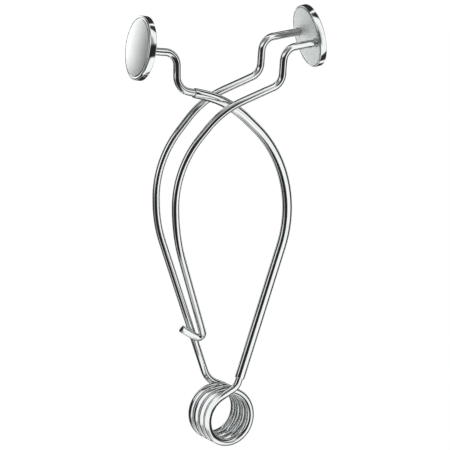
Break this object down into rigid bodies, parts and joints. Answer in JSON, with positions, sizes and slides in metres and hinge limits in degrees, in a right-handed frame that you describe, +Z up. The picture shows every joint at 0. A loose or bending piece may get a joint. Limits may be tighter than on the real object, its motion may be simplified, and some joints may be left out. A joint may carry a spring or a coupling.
{
  "type": "cross-arm spring clip",
  "caption": "Cross-arm spring clip bent from wire: a coil, two arms that cross, a sleeved arm, a hooked second wire and round pads facing outwards.",
  "frame": {"origin": "middle of the spring coil, on the coil's axis", "axes": "+X from the left pad towards the right pad, +Y along the coil's axis towards its rear end, +Z up from the coil to the pads"},
  "size_m": [0.0497, 0.0152, 0.1048],
  "materials": {
    "spring_wire": "bright nickel plate on drawn spring wire",
    "hook_wire": "bright nickel plate on drawn wire",
    "arm_wire": "bright nickel plate on drawn spring wire",
    "sleeve": "bright nickel plate on drawn tube",
    "pad_cap": "polished and plated, lightly domed",
    "pad_plate": "fine satin, flat",
    "braze": "plated over, slightly duller than the wire"
  },
  "bodies": {
    "left_arm": {"rear_wire": "spring_wire", "hook_wire": "hook_wire", "spring_coil": "spring_wire", "right_pad_plate": "pad_plate", "right_pad_cap": "pad_cap", "rear_braze": "braze", "front_braze": "braze"},
    "right_arm": {"arm_wire": "arm_wire", "arm_sleeve": "sleeve", "left_pad_plate": "pad_plate", "left_pad_cap": "pad_cap", "neck_braze": "braze"}
  },
  "joints": [
    {"name": "arm_swing", "type": "hinge", "parent": "left_arm", "child": "right_arm", "pos_m": [0, 0, 0], "axis": [0, 1, 0], "range_deg": [-18, 18], "stiffness_Nm_per_rad": 0.5, "deforming": ["spring_coil"]}
  ]
}
